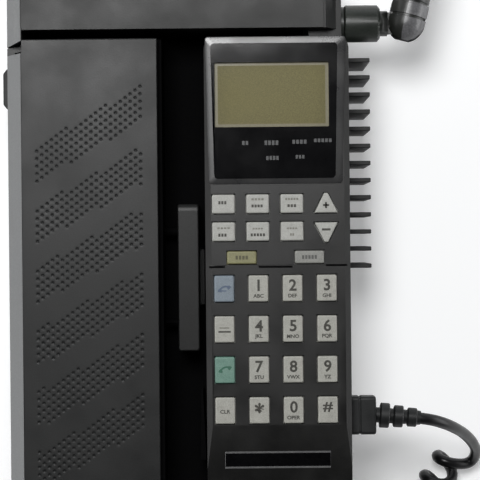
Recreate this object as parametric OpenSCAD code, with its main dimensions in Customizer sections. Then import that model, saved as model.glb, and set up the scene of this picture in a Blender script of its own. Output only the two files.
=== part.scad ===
// Transportable mobile telephone: a base unit lying on its back, with a battery pack on the left,
// a handset in its cradle on the right, a swivelling antenna, a carry handle and a curly cord.
// Millimetres. The origin is the centre of the flat back face, +Z leaves the front face,
// +Y points to the head end with the handle, and +X points to the heat sink.

/* [Base unit] */
// Width of the base across its side faces
body_w = 144; // [142:1:146]
// Length of the base from foot end to head end
body_h = 244; // [243:1:246]
// Thickness of the base from its back to its front face
body_t = 62; // [61:0.5:63]
// Wall thickness of the moulded base shells
wall = 2.6; // [2.2:0.1:3]
// Width of the sloping edge along each side
slope_w = 7; // [5:0.5:8]
// Height of the sloping edge along each side
slope_t = 12; // [10:0.5:13]
// Level of the top rim of the back housing
back_t = 26; // [26:0.5:26.5]

/* [Battery] */
// Left to right position of the battery's inner side
battery_right = -8; // [-9:0.5:-7.5]
// Diameter of one cell
cell_d = 25.8; // [24:0.2:26]
// Length of one cell
cell_len = 50; // [48:0.5:50.5]

/* [Handset] */
// Centre of the handset across the base
handset_x = 43.6; // [43.2:0.1:44]
// Width of the handset
handset_w = 61; // [60:0.5:61.5]
// Level of the handset's front face
handset_top = 72; // [71:0.5:73]

/* [Keys] */
// Column spacing of the keys
key_pitch_x = 14.35; // [14:0.05:14.5]
// Row spacing of the number keys
key_pitch_y = 17.05; // [16:0.05:17.2]
// Row spacing of the menu keys
menu_pitch = 11.6; // [11.2:0.1:12]
// How far a key stands above the handset's face
key_proud = 1.3; // [1:0.1:1.8]

/* [Heat sink] */
// Number of cooling fins
fins = 13; // [8:1:13]
// Spacing of the cooling fins
fin_pitch = 7.4; // [6:0.1:7.4]
// How far the fins reach from the base's side
fin_reach = 12.4; // [8:0.2:14]

/* [Antenna] */
// Lean of the antenna away from the base's long axis
antenna_lean = 14; // [5:1:20]
// Length of the antenna from its hinge to its tip
antenna_len = 120; // [90:5:150]

/* [Cord] */
// Diameter of the cord
cord_d = 5; // [4.5:0.1:5.2]
// Outer diameter of the curly stretch
coil_d = 17; // [16:0.5:17]

/* [Hidden] */
$fn = 48;
eps = 0.01;

half_w = body_w / 2;
half_h = body_h / 2;
deck_t = 2;
deck_top = back_t + deck_t;
rim = 3;
corner = 6;

// head end
head_y = 96.5;
groove_x = half_w - slope_w - 0.4;
groove_w = 0.9;
groove_t = 0.9;

// foot end
foot_wall = 3.6;
foot_y = -half_h + foot_wall;

// battery
battery_top_y = head_y - 4;
battery_low_y = foot_y + 0.4;
battery_split = body_t - slope_t;
battery_floor = deck_top + 0.5;
battery_wall = 2.4;
contact_y = 80;
contact_r = 4;
contact_x = [-50, -26];
latch_y = 72.6;
latch_z = 40;
latch_len = 17.4;
latch_high = 12;
latch_proud = 2.4;

// cradle
cradle_left = battery_right + 0.4;
cradle_floor = deck_top + 2.4;
cradle_rim = body_t - slope_t;
cup_x = 14;
cup_y = 37;
cup_low_y = -52;
cup_wall = 2.4;
pad_x = 22;
pad_high_x = 65;
head_pad_y = 58;
head_pad_high_y = 84;
foot_pad_y = -102;
foot_pad_high_y = -74;
pad_gap = 0.4;
hook_y = 71;
clamp_x = 0.8;
clamp_w = 9.3;
clamp_y = -9.7;
clamp_len = 63;
clamp_top = 55;
clamp_pin_y = 20;
guide_z = 38;
pin_r = 2;
run = 0.06;

// handset
handset_top_y = 91.8;
handset_low_y = -108;
handset_split = 62;
handset_wall = 2.2;
handset_left = handset_x - handset_w / 2;
handset_right = handset_x + handset_w / 2;
handset_r = 5;
bulge_z = 38;
slim_z = 50.5;
waist_w = 48.4;
face_t = 2.4;
earpiece_y = 71;
earpiece_r = 14;
ear_ring_r = 9;
sound_hole_r = 1;
microphone_y = -86;
microphone_r = 4.8;
slope_y = -72;
slope_drop = 4.4;
bevel = 2.4;

// display
plate_low_y = 32;
plate_high_y = 88.9;
plate_x = 42.6;
plate_top_w = 53.4;
plate_low_w = 51;
plate_t = 1.4;
lcd_x = 42.1;
lcd_y = 67.3;
lcd_w = 47.9;
lcd_h = 27.2;

// keys: each centre is worked out from its column and row
key_x0 = 20.8;
key_y0 = -14.1;
key_w = 8.2;
key_h = 11.1;
menu_y0 = 21.4;
menu_w = 9.5;
menu_h = 8;
tab_y = -1.1;
tab_w = 12.2;
tab_h = 5.4;
key_base = handset_top - 3.7;
key_gap = 0.35;
lip = 0.6;
lip_t = 0.9;
SIDE_KEYS = ["end_key", "store_key", "call_key", "clear_key"];
DIGITS = [["1", "2", "3"], ["4", "5", "6"], ["7", "8", "9"], ["star", "0", "hash"]];
function key_at(col, row) = [key_x0 + col * key_pitch_x, key_y0 - row * key_pitch_y];
function menu_at(col, row) = [key_x0 + col * key_pitch_x, menu_y0 - row * menu_pitch];
// name, centre, width, height, colour
KEYS = concat(
    [for (r = [0:3]) [SIDE_KEYS[r], key_at(0, r), key_w, key_h,
                      r == 0 ? "lightsteelblue" : r == 2 ? "mediumaquamarine" : "ivory"]],
    [for (r = [0:3]) for (c = [0:2]) [str("key_", DIGITS[r][c]), key_at(c + 1, r), key_w, key_h, "ivory"]],
    [for (r = [0:1]) for (c = [0:2])
        [str("menu_key_", r * 3 + c + 1), menu_at(c, r), menu_w, menu_h, "gainsboro"]],
    [["yellow_tab", [28.3, tab_y], tab_w, tab_h, "khaki"],
     ["white_tab", [56.7, tab_y], tab_w, tab_h, "whitesmoke"]]);
// name, centre, direction of the point
ARROWS = [["up_key", [key_x0 + 3 * key_pitch_x, menu_y0 + 0.2], 1],
          ["down_key", [key_x0 + 3 * key_pitch_x, menu_y0 - menu_pitch - 0.6], -1]];
arrow_w = 9.8;
arrow_h = 8.4;

// heat sink
fin_top_y = 83.5;
fin_t = 1.9;
sink_plate = 2.6;
sink_low = 5;
sink_high = 49;

// antenna
antenna_y = 99.6;
antenna_z = 45;
socket_r = 5;
spigot_r = 4.5;
spigot_len = 8;
flange_r = 7.4;
flange_t = 1.2;
collar_x = half_w + 1.5;
collar_len = 15.5;
collar_r = 8;
tilt_x = 100.6;
cheek_r = 8;
tongue_t = 5;

// handle
handle_y = 128;
handle_z = 38;
handle_reach = 36;
lug_x = 49;
lug_w = 6;
lug_r = 7;
arm_x = 55.2;
arm_w = 5.6;
arm_h = 10;
grip_r = 7;
hinge_r = 2.5;

// board and fasteners
board_z = 8;
board_t = 1.6;
insert_x = 50;
insert_y = 85;
insert_r = 2.1;
insert_len = 12;
boss_r = 5.5;
screw_x = 61;
screw_y = 112;
screw_post_r = 4.5;
screw_bore_r = 1.6;
screw_head_r = 3.2;
board_post_x = 58;
board_post_y = 60;
board_post_r = 3.5;
board_x = 64;
board_y = 104;
shield_x = 42;
shield_y = 62;
shield_h = 13;
shield_t = 0.8;
vent_r = 1.6;
vent_pitch = 9;
vent_y = 40;

// handset plug and cord
plug_y = -69;
plug_z = 56;
plug_len = 10.9;
plug_w = 16.3;
plug_h = 10;
boot_tilt = -4.5;
socket_x = -40;
socket_z = 13;
LEAD = [[103.4, -70.7, 56], [109, -71.6, 55.4], [114.4, -73.4, 51.6], [119.4, -75.8, 45],
        [123.8, -78.6, 37], [127.8, -82, 28.6], [131, -85.8, 20.8], [133, -89.8, 14],
        [133.6, -93.8, 9], [133, -98.2, 6]];
COIL = [[122.2, -91.5], [118, -98.8], [113.4, -106.8], [107.6, -115.6], [100, -124.4], [90.4, -132.4],
        [78.6, -139.4], [64.6, -144.8], [48.6, -148.2], [31.4, -149.8], [14, -150], [-2, -150], [-18, -150]];
TAIL = [[-18, -150, 8.5], [-24, -150, 8.8], [-30, -149, 9.6], [-35, -146.4, 10.8], [-38.6, -142, 12],
        [-40, -137, 12.8], [-40, -133.8, 13]];

// ---------- shared shapes ----------

// a block given by its two corners
module block(low, high) {
    translate(low)
        cube(high - low);
}

// a round bar along X from x0 to x1
module bar_x(x0, x1, y, z, r) {
    translate([x0, y, z])
        rotate([0, 90, 0])
            cylinder(h = x1 - x0, r = r);
}

// a rectangle with true round corners
module round_rect(w, h, r) {
    square([w - 2 * r, h], center = true);
    square([w, h - 2 * r], center = true);
    for (x = [-1, 1])
        for (y = [-1, 1])
            translate([x * (w / 2 - r), y * (h / 2 - r)])
                circle(r);
}

// side outline of the base, from half its breadth b, shrunk by g
module base_profile(b, g) {
    polygon([[-b + rim + g, g], [b - rim - g, g], [b - g, rim + g], [b - g, body_t - slope_t - g / 2],
             [b - slope_w - g, body_t - g], [-b + slope_w + g, body_t - g],
             [-b + g, body_t - slope_t - g / 2], [-b + g, rim + g]]);
}

// the whole outer form of the base, shrunk by g
module base_form(g = 0) {
    intersection() {
        linear_extrude(body_t)
            round_rect(body_w - 2 * g, body_h - 2 * g, corner);
        rotate([90, 0, 0])
            translate([0, 0, -half_h])
                linear_extrude(body_h)
                    base_profile(half_w, g);
        rotate([90, 0, 90])
            translate([0, 0, -half_w])
                linear_extrude(body_w)
                    base_profile(half_h, g);
    }
}

// the part of the base's outer form between two corners, shrunk by g
module base_part(low, high, g = 0) {
    intersection() {
        base_form(g);
        block(low, high);
    }
}

// outline of the handset from the side, as Y and Z, shrunk by g
module handset_side(g) {
    polygon([[handset_low_y + g + 4, bulge_z + g], [-69 - g, bulge_z + g], [-56 - g, slim_z + g],
             [41 + g, slim_z + g], [54 + g, bulge_z + g], [handset_top_y - g - 4, bulge_z + g],
             [handset_top_y - g, bulge_z + g + 5], [handset_top_y - g, handset_top - bevel],
             [handset_top_y - g - bevel, handset_top], [slope_y, handset_top],
             [handset_low_y + g + bevel, handset_top - slope_drop],
             [handset_low_y + g, handset_top - slope_drop - bevel],
             [handset_low_y + g, bulge_z + g + 5]]);
}

// the handset's outer form, shrunk by g
module handset_form(g = 0) {
    b = handset_w / 2 - g;
    c = waist_w / 2 - g;
    length = handset_top_y - handset_low_y;
    intersection() {
        translate([handset_x, (handset_top_y + handset_low_y) / 2, 0])
            linear_extrude(handset_top)
                round_rect(handset_w - 2 * g, length - 2 * g, handset_r);
        rotate([90, 0, 0])
            translate([handset_x, 0, -handset_top_y])
                linear_extrude(length)
                    polygon([[-c + 3, bulge_z + g], [c - 3, bulge_z + g], [c, bulge_z + g + 3],
                             [c, slim_z + g], [b - 1, slim_z + g], [b, slim_z + g + 1],
                             [b, handset_top - bevel], [b - bevel, handset_top], [-b + bevel, handset_top],
                             [-b, handset_top - bevel], [-b, slim_z + g + 1], [-b + 1, slim_z + g],
                             [-c, slim_z + g], [-c, bulge_z + g + 3]]);
        rotate([90, 0, 90])
            linear_extrude(handset_right + 5)
                handset_side(g);
    }
}

// outline of an arrow key, pointing along +Y or -Y, grown by g
module arrow_outline(way, g = 0) {
    w = arrow_w / 2 + g;
    h = arrow_h / 2 + g;
    tip = 0.9;
    polygon([[-w, -way * (h - tip)], [-w, -way * h], [w, -way * h], [w, -way * (h - tip)],
             [tip, way * h], [-tip, way * h]]);
}

// slanting sides for a block key's cap, w wide, from its foot to its top
module cap_profile(w, foot, top) {
    polygon([[-w / 2, foot], [w / 2, foot], [w / 2, top - 1], [w / 2 - 0.5, top], [-w / 2 + 0.5, top],
             [-w / 2, top - 1]]);
}

// one block key: a cap with slanting edges on a lip that keeps it under the face
module block_key(k) {
    top = handset_top + key_proud;
    translate([k[1][0], k[1][1], 0]) {
        intersection() {
            rotate([90, 0, 0])
                translate([0, 0, -k[3] / 2])
                    linear_extrude(k[3])
                        cap_profile(k[2], key_base, top);
            rotate([90, 0, 90])
                translate([0, 0, -k[2] / 2])
                    linear_extrude(k[2])
                        cap_profile(k[3], key_base, top);
        }
        translate([-k[2] / 2 - lip, -k[3] / 2 - lip, key_base])
            cube([k[2] + 2 * lip, k[3] + 2 * lip, lip_t]);
    }
}

// one arrow key
module arrow_key(a) {
    translate([a[1][0], a[1][1], key_base]) {
        linear_extrude(lip_t)
            arrow_outline(a[2], lip);
        linear_extrude(handset_top + key_proud - key_base)
            arrow_outline(a[2]);
    }
}

// ---------- swept tubes ----------

function unit(v) = v / norm(v);

// direction of a route at point i
function heading(p, i) =
    unit(p[min(i + 1, len(p) - 1)] - p[max(i - 1, 0)]);

// the ring of points of a tube of radius r round point i of a route
function ring(p, i, r, sides) =
    let (t = heading(p, i),
         u = unit(cross([0, 0, 1], t)),
         v = cross(t, u))
    [for (k = [0:sides - 1]) p[i] + r * (cos(360 * k / sides) * u + sin(360 * k / sides) * v)];

// a solid tube of radius r along a route
module tube(p, r, sides) {
    n = len(p);
    points = [for (i = [0:n - 1]) each ring(p, i, r, sides)];
    walls = [for (i = [0:n - 2]) for (k = [0:sides - 1])
                let (a = i * sides + k, b = i * sides + (k + 1) % sides)
                [a + sides, b + sides, b, a]];
    near_end = [for (k = [0:sides - 1]) k];
    far_end = [for (k = [sides - 1:-1:0]) (n - 1) * sides + k];
    polyhedron(points = points, faces = concat(walls, [near_end], [far_end]));
}

// ---------- base unit ----------

// lower shell: floor, side walls up to the deck, the foot end wall and the bosses inside
module back_housing() {
    color("dimgray")
        difference() {
            union() {
                difference() {
                    base_part([-half_w, -half_h, 0], [half_w, half_h, back_t]);
                    base_part([-half_w, -half_h, wall], [half_w, half_h, back_t + 1], wall);
                }
                base_part([-half_w, -half_h, back_t - eps], [half_w, foot_y, body_t]);
                for (x = [-1, 1])
                    for (y = [-1, 1]) {
                        translate([x * insert_x, y * insert_y, 1])
                            cylinder(h = 14, r = boss_r);
                        translate([x * screw_x, y * screw_y, 1])
                            cylinder(h = back_t - 1, r = screw_post_r);
                        translate([x * board_post_x, y * board_post_y, 1])
                            cylinder(h = board_z - 1, r = board_post_r);
                    }
            }
            for (x = [-1, 1])
                for (y = [-1, 1]) {
                    translate([x * insert_x, y * insert_y, -1])
                        cylinder(h = insert_len + 1, r = insert_r);
                    translate([x * screw_x, y * screw_y, -1])
                        cylinder(h = back_t - 1, r = screw_bore_r);
                    translate([x * screw_x, y * screw_y, -1])
                        cylinder(h = 3, r = screw_head_r);
                }
            translate([socket_x, foot_y - 6, socket_z])
                rotate([-90, 0, 0])
                    cylinder(h = 12, r = 5, center = true);
        }
}

// flat plate that closes the back housing and carries the battery and the cradle
module deck_plate() {
    color("gray")
        difference() {
            base_part([-half_w, foot_y, back_t], [half_w, head_y - 0.2, deck_top], 0);
            for (x = [-1, 1])
                translate([x * screw_x, -screw_y, back_t - 1])
                    cylinder(h = 4, r = screw_bore_r);
        }
}

// shell over the head end, with the antenna's boss and the handle's lugs
module head_cover() {
    inner_y = head_y + wall;
    color("dimgray")
        difference() {
            union() {
                difference() {
                    base_part([-half_w, head_y, back_t], [half_w, half_h, body_t]);
                    base_part([-half_w, inner_y, back_t - 1], [half_w, half_h, body_t], wall);
                    for (x = [-groove_x, groove_x])
                        block([x - groove_w / 2, head_y - 1, body_t - groove_t],
                              [x + groove_w / 2, half_h, body_t + 1]);
                }
                block([half_w - 14, head_y - 4.1, antenna_z - 9], [half_w, head_y + 13, antenna_z + 9]);
                intersection() {
                    base_form();
                    translate([0, 0, deck_top])
                        linear_extrude(body_t)
                            side_ear(0);
                }
                for (s = [-1, 1])
                    handle_lug(s);
            }
            bar_x(half_w - 20, half_w + 1, antenna_y, antenna_z, socket_r);
            bar_x(-lug_x - lug_w, lug_x + lug_w, handle_y, handle_z, hinge_r + 0.05);
        }
}

// plan of the ear by which the head cover reaches down the left side, grown by g
module side_ear(g) {
    polygon([[-half_w - 1, head_y - 6.6 - g], [-groove_x + g, head_y - 4.6 - g],
             [-groove_x + g, head_y + 1], [-half_w - 1, head_y + 1]]);
}

// one lug of the carry handle, on side s
module handle_lug(s) {
    x0 = s * lug_x - lug_w / 2;
    bar_x(x0, x0 + lug_w, handle_y, handle_z, lug_r);
    block([x0, half_h - 1.5, handle_z - lug_r], [x0 + lug_w, handle_y, handle_z + lug_r]);
}

// handset cradle: floor, partition, side wall, the raised middle and a pad under each end
module cradle() {
    color([0.13, 0.13, 0.14])
        difference() {
            union() {
                base_part([cradle_left, battery_low_y, deck_top], [half_w, head_y - 0.2, cradle_floor]);
                block([cradle_left, battery_low_y, deck_top], [cradle_left + 2.4, head_y - 4.2, body_t - 4]);
                base_part([half_w - 2.4, battery_low_y, deck_top], [half_w, head_y - 4.8, cradle_rim]);
                difference() {
                    block([cup_x, cup_low_y, deck_top], [half_w - 2, cup_y, slim_z - 0.5]);
                    block([cup_x + cup_wall, cup_low_y + cup_wall, deck_top - 1],
                          [half_w - 4.8, cup_y - cup_wall, slim_z - 0.5 - cup_wall]);
                }
                difference() {
                    block([pad_x, head_pad_y, deck_top], [pad_high_x, head_pad_high_y, bulge_z - pad_gap]);
                    block([pad_x + cup_wall, head_pad_y + cup_wall, deck_top - 1],
                          [pad_high_x - cup_wall, head_pad_high_y - cup_wall,
                           bulge_z - pad_gap - cup_wall]);
                    translate([handset_x, hook_y, deck_top])
                        cylinder(h = 20, r = 3);
                }
                block([pad_x, foot_pad_y, deck_top], [pad_high_x, foot_pad_high_y, bulge_z - pad_gap]);
                linear_extrude(54)
                    polygon([[9.8, -88], [12.4, -88], [11.2, -58], [10.4, -58]]);
                for (y = [-clamp_pin_y, clamp_pin_y])
                    bar_x(cradle_left + 1, clamp_x + 3.2, clamp_y + y, guide_z, pin_r);
            }
            block([cradle_left - 1, -half_h, -1], [half_w + 1, half_h, deck_top]);
        }
}

// aluminium heat sink on the right side, with a row of fins
module heat_sink() {
    color("darkslategray") {
        block([half_w, fin_top_y - (fins - 1) * fin_pitch - 4, sink_low],
              [half_w + sink_plate, fin_top_y + 3, sink_high]);
        for (i = [0:fins - 1])
            block([half_w + 1, fin_top_y - i * fin_pitch - fin_t / 2, sink_low],
                  [half_w + fin_reach, fin_top_y - i * fin_pitch + fin_t / 2, sink_high]);
    }
}

module transceiver_board() {
    color("darkgreen")
        difference() {
            block([-board_x, -board_y, board_z], [board_x, board_y, board_z + board_t]);
            for (x = [-1, 1])
                for (y = [-1, 1])
                    translate([x * insert_x, y * insert_y, 0])
                        cylinder(h = 20, r = boss_r + 0.5);
        }
}

// screening can over the radio part of the board
module rf_shield() {
    low = board_z + board_t;
    color("silver")
        difference() {
            block([-shield_x, -shield_y, low], [shield_x, shield_y, low + shield_h]);
            block([-shield_x + shield_t, -shield_y + shield_t, low - 1],
                  [shield_x - shield_t, shield_y - shield_t, low + shield_h - shield_t]);
            for (x = [-3:3])
                for (y = [-1, 1])
                    translate([x * vent_pitch, y * vent_y, 0])
                        cylinder(h = 40, r = vent_r);
        }
}

// coaxial socket in the head cover's side
module antenna_socket() {
    color("goldenrod") {
        bar_x(half_w - 16, half_w, antenna_y, antenna_z, socket_r - 0.05);
        bar_x(half_w, half_w + flange_t, antenna_y, antenna_z, flange_r);
        bar_x(half_w, half_w + spigot_len, antenna_y, antenna_z, spigot_r);
    }
}

// four screws that hold the back housing to the covers
module case_screws() {
    color("silver")
        for (x = [-1, 1])
            for (y = [-1, 1])
                translate([x * screw_x, y * screw_y, 0])
                    difference() {
                        union() {
                            translate([0, 0, 0.3])
                                cylinder(h = 1.7, r = 3);
                            translate([0, 0, 2])
                                cylinder(h = back_t - 5, r = 1.5);
                        }
                        translate([0, 0, -1])
                            cylinder(h = 2.4, r = 1.3, $fn = 6);
                    }
}

// two contact studs in the deck that meet the battery's floor
module battery_contacts() {
    color("gold")
        for (x = contact_x)
            translate([x, contact_y, deck_top])
                cylinder(h = battery_floor - deck_top - 0.1, r = contact_r);
}

// two pins that the carry handle turns on
module handle_pins() {
    pin_head = arm_x + arm_w / 2 + 0.2;
    color("silver")
        for (s = [-1, 1]) {
            bar_x(s > 0 ? lug_x - lug_w / 2 : -pin_head, s > 0 ? pin_head : -lug_x + lug_w / 2,
                  handle_y, handle_z, hinge_r);
            bar_x(s > 0 ? pin_head : -pin_head - 1, s > 0 ? pin_head + 1 : -pin_head,
                  handle_y, handle_z, 3.8);
        }
}

// plug of the cord's base end, with its strain relief
module base_plug() {
    color([0.1, 0.1, 0.1])
        translate([socket_x, -half_h, socket_z])
            rotate([90, 0, 0])
                rotate_extrude()
                    polygon([[0, -5], [4.9, -5], [4.9, 0], [7, 0], [7, 4], [5, 5], [3.6, 11.8], [0, 11.8]]);
}

// ---------- moving parts of the base ----------

// sprung jaw beside the handset, sliding on two pins
module side_clamp() {
    low_y = clamp_y - clamp_len / 2;
    color("gray")
        difference() {
            union() {
                block([clamp_x, low_y, cradle_floor + 0.5],
                      [clamp_x + clamp_w, low_y + clamp_len, clamp_top - 1]);
                block([clamp_x + 0.8, low_y + 1, clamp_top - 1.5],
                      [clamp_x + clamp_w - 0.8, low_y + clamp_len - 1, clamp_top]);
                block([clamp_x + clamp_w - 1, clamp_y - 12, cradle_floor + 0.5],
                      [clamp_x + clamp_w + 1.8, clamp_y + 12, cradle_floor + 6]);
            }
            for (y = [-clamp_pin_y, clamp_pin_y])
                bar_x(clamp_x - 1, clamp_x + 6.6, clamp_y + y, guide_z, pin_r + run);
        }
}

// push button in the battery's left side, with a catch that drops into the housing's rim
module battery_latch() {
    x0 = -half_w - latch_proud;
    color("gray") {
        translate([0, 0, latch_z - latch_high / 2])
            linear_extrude(latch_high)
                polygon([[-half_w + 3, latch_y - latch_len / 2], [x0 + 1.6, latch_y - latch_len / 2],
                         [x0, latch_y - latch_len / 2 + 2], [x0, latch_y + latch_len / 2 - 2],
                         [x0 + 1.6, latch_y + latch_len / 2], [-half_w + 3, latch_y + latch_len / 2]]);
        block([-half_w + battery_wall + 0.3, latch_y - latch_len / 2 - 1.2, latch_z - latch_high / 2 - 1.2],
              [-half_w + battery_wall + 1.5, latch_y + latch_len / 2 + 1.2, latch_z + latch_high / 2 + 1.2]);
    }
}

// carry handle: two arms and a round grip
module carry_handle() {
    grip_y = handle_y + handle_reach;
    color([0.1, 0.1, 0.1])
        difference() {
            union() {
                bar_x(-arm_x + arm_w / 2 - 1, arm_x - arm_w / 2 + 1, grip_y, handle_z, grip_r);
                for (s = [-1, 1]) {
                    x0 = s * arm_x - arm_w / 2;
                    block([x0, handle_y, handle_z - arm_h / 2], [x0 + arm_w, grip_y, handle_z + arm_h / 2]);
                    bar_x(x0, x0 + arm_w, handle_y, handle_z, arm_h / 2);
                    bar_x(x0, x0 + arm_w, grip_y, handle_z, grip_r);
                }
            }
            bar_x(-arm_x - arm_w, arm_x + arm_w, handle_y, handle_z, hinge_r + run);
        }
}

// plunger in the upper cradle pad that the handset holds down
module hook_switch() {
    color("ivory")
        translate([handset_x, hook_y, 0]) {
            translate([0, 0, cradle_floor + 0.4])
                cylinder(h = 1.2, r = 4.5);
            translate([0, 0, cradle_floor + 0.4])
                cylinder(h = bulge_z - 0.3 - cradle_floor - 0.4, r = 2.9);
        }
}

// ---------- antenna ----------

// knurled collar that turns on the socket, with the tongue of the tilt hinge
module antenna_collar() {
    neck_end = tilt_x - cheek_r - 0.35;
    color([0.2, 0.21, 0.2])
        difference() {
            union() {
                translate([collar_x, antenna_y, antenna_z])
                    rotate([0, 90, 0])
                        rotate_extrude()
                            polygon([[0, 0], [collar_r - 0.8, 0], [collar_r, 0.8],
                                     [collar_r, collar_len - 1.2], [collar_r - 1.4, collar_len],
                                     [5.5, collar_len], [5.5, neck_end - collar_x],
                                     [0, neck_end - collar_x]]);
                block([neck_end - 2, antenna_y - 4.6, antenna_z - tongue_t / 2],
                      [tilt_x, antenna_y + 4.6, antenna_z + tongue_t / 2]);
                translate([tilt_x, antenna_y, antenna_z - tongue_t / 2])
                    cylinder(h = tongue_t, r = 6);
            }
            bar_x(collar_x - 1, half_w + spigot_len + 0.4, antenna_y, antenna_z, spigot_r + run);
            translate([tilt_x, antenna_y, antenna_z - 10])
                cylinder(h = 20, r = pin_r + run);
        }
}

// puts its children in the antenna's own frame: hinge at the origin, rod along +Y
module on_antenna() {
    translate([tilt_x, antenna_y, antenna_z])
        rotate([0, 0, -antenna_lean])
            children();
}

// forked root of the antenna, with its hinge pin
module antenna_knuckle() {
    slot = tongue_t + 0.5;
    color("gray")
        on_antenna() {
            difference() {
                union() {
                    translate([0, 0, -cheek_r])
                        cylinder(h = 2 * cheek_r, r = cheek_r);
                    rotate([-90, 0, 0])
                        rotate_extrude()
                            polygon([[0, 0], [cheek_r - 0.3, 0], [cheek_r - 0.3, 13], [6.4, 14], [0, 14]]);
                }
                translate([0, 0, -slot / 2])
                    cylinder(h = slot, r = cheek_r + 1);
                block([-cheek_r - 1, -cheek_r - 1, -slot / 2], [cheek_r + 1, 0, slot / 2]);
            }
            translate([0, 0, -cheek_r])
                cylinder(h = 2 * cheek_r, r = pin_r);
        }
}

// rubber covered antenna rod with rings round its root
module antenna_whip() {
    color([0.12, 0.12, 0.12])
        on_antenna()
            rotate([-90, 0, 0])
                rotate_extrude()
                    polygon([[0, 14], [7.9, 14], [8.1, 14.6], [8.1, 19], [7.3, 19.6], [7.3, 20.6],
                             [8.2, 21.2], [8.2, 30], [7.4, 31], [7, 34], [5, antenna_len - 4],
                             [3.4, antenna_len - 1], [0, antenna_len]]);
}

// ---------- battery ----------

// the battery's outer form between two levels, shrunk by g
module battery_form(low, high, g = 0) {
    difference() {
        base_part([-half_w, battery_low_y + g, low], [battery_right - g, battery_top_y - g, high], g);
        linear_extrude(body_t + 1)
            side_ear(0.4 + g);
    }
}

module battery_cover() {
    color("dimgray")
        difference() {
            battery_form(battery_split, body_t);
            battery_form(battery_split - 1, body_t, battery_wall);
            block([-groove_x - groove_w / 2, -half_h, body_t - groove_t],
                  [-groove_x + groove_w / 2, half_h, body_t + 1]);
        }
}

module battery_case() {
    color("dimgray")
        difference() {
            battery_form(battery_floor, battery_split);
            battery_form(battery_floor + battery_wall, body_t, battery_wall);
            block([-half_w - 1, latch_y - latch_len / 2 - 0.35, latch_z - latch_high / 2 - 0.35],
                  [-half_w + 5, latch_y + latch_len / 2 + 0.35, latch_z + latch_high / 2 + 0.35]);
        }
}

// eight rechargeable cells in two columns
module battery_cells() {
    mid_x = (battery_right - half_w) / 2 + 0.9;
    mid_y = (battery_low_y + battery_top_y) / 2;
    mid_z = battery_floor + battery_wall + cell_d / 2 + 0.4;
    color("steelblue")
        for (c = [-0.5, 0.5])
            for (r = [-1.5:1:1.5])
                translate([mid_x + c * (cell_d + 0.4), mid_y + r * (cell_len + 0.6), mid_z])
                    rotate([90, 0, 0]) {
                        cylinder(h = cell_len - 1.5, r = cell_d / 2, center = true);
                        cylinder(h = cell_len, r = 5, center = true);
                    }
}

// ---------- handset ----------

module handset_front() {
    color("dimgray")
        difference() {
            intersection() {
                handset_form();
                block([0, -half_h, handset_split], [half_w + 20, half_h, handset_top]);
            }
            intersection() {
                handset_form(handset_wall);
                union() {
                    block([0, slope_y, handset_split - 1], [half_w + 20, half_h, handset_top - face_t]);
                    block([0, -half_h, handset_split - 1],
                          [half_w + 20, slope_y + 1, handset_top - face_t - slope_drop]);
                }
            }
            translate([0, 0, handset_top - plate_t])
                linear_extrude(5)
                    plate_outline(0.15);
            block([lcd_x - lcd_w / 2 - 0.6, lcd_y - lcd_h / 2 - 0.6, handset_top - 5],
                  [lcd_x + lcd_w / 2 + 0.6, lcd_y + lcd_h / 2 + 0.6, handset_top]);
            for (k = KEYS)
                block([k[1][0] - k[2] / 2 - key_gap, k[1][1] - k[3] / 2 - key_gap, handset_top - 5],
                      [k[1][0] + k[2] / 2 + key_gap, k[1][1] + k[3] / 2 + key_gap, handset_top + 1]);
            for (a = ARROWS)
                translate([a[1][0], a[1][1], handset_top - 5])
                    linear_extrude(10)
                        arrow_outline(a[2], key_gap);
            for (s = [[handset_left - 1, 21.6], [35, 50], [63.3, handset_right + 1]])
                block([s[0], tab_y - 3.9, handset_top - 0.5], [s[1], tab_y - 3.2, handset_top + 1]);
        }
}

// outline of the display's front plate, grown by g
module plate_outline(g = 0) {
    low = plate_low_w / 2 + g;
    high = plate_top_w / 2 + g;
    polygon([[plate_x - low, plate_low_y - g], [plate_x + low, plate_low_y - g],
             [plate_x + high, plate_high_y + g], [plate_x - high, plate_high_y + g]]);
}

module handset_back() {
    color("dimgray")
        difference() {
            intersection() {
                handset_form();
                block([0, -half_h, 0], [half_w + 20, half_h, handset_split]);
            }
            intersection() {
                handset_form(handset_wall);
                block([0, -half_h, 0], [half_w + 20, half_h, handset_split + 1]);
            }
            block([handset_right - 5, plug_y - 5.3, plug_z - 4.3],
                  [handset_right + 1, plug_y + 5.3, plug_z + 4.3]);
            for (a = [0:60:300])
                translate([handset_x + ear_ring_r * cos(a), earpiece_y + ear_ring_r * sin(a), 0])
                    cylinder(h = 45, r = sound_hole_r);
            translate([handset_x, microphone_y, 0])
                cylinder(h = 45, r = sound_hole_r);
        }
}

// clear plate over the display, trapezoid in outline
module display_window() {
    color([0.08, 0.08, 0.08])
        translate([0, 0, handset_top - plate_t + 0.05])
            linear_extrude(plate_t + 0.15)
                plate_outline();
}

module lcd_module() {
    top = handset_top - face_t - 0.2;
    color("darkkhaki") {
        block([lcd_x - lcd_w / 2 - 1.8, lcd_y - lcd_h / 2 - 3, top - 3.6],
              [lcd_x + lcd_w / 2 + 1.8, lcd_y + lcd_h / 2 + 3, top]);
        block([lcd_x - lcd_w / 2, lcd_y - lcd_h / 2, top - 1],
              [lcd_x + lcd_w / 2, lcd_y + lcd_h / 2, handset_top - plate_t - 0.05]);
    }
}

// rubber sheet with domes under the keys
module key_mat() {
    color("darkgray")
        block([16.2, slope_y + 0.3, key_base - 2.8], [70.8, 27.2, key_base - 1.3]);
}

module handset_board() {
    color("darkgreen")
        block([17, -102, handset_split + 1.4], [70, 44, handset_split + 3]);
}

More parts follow.
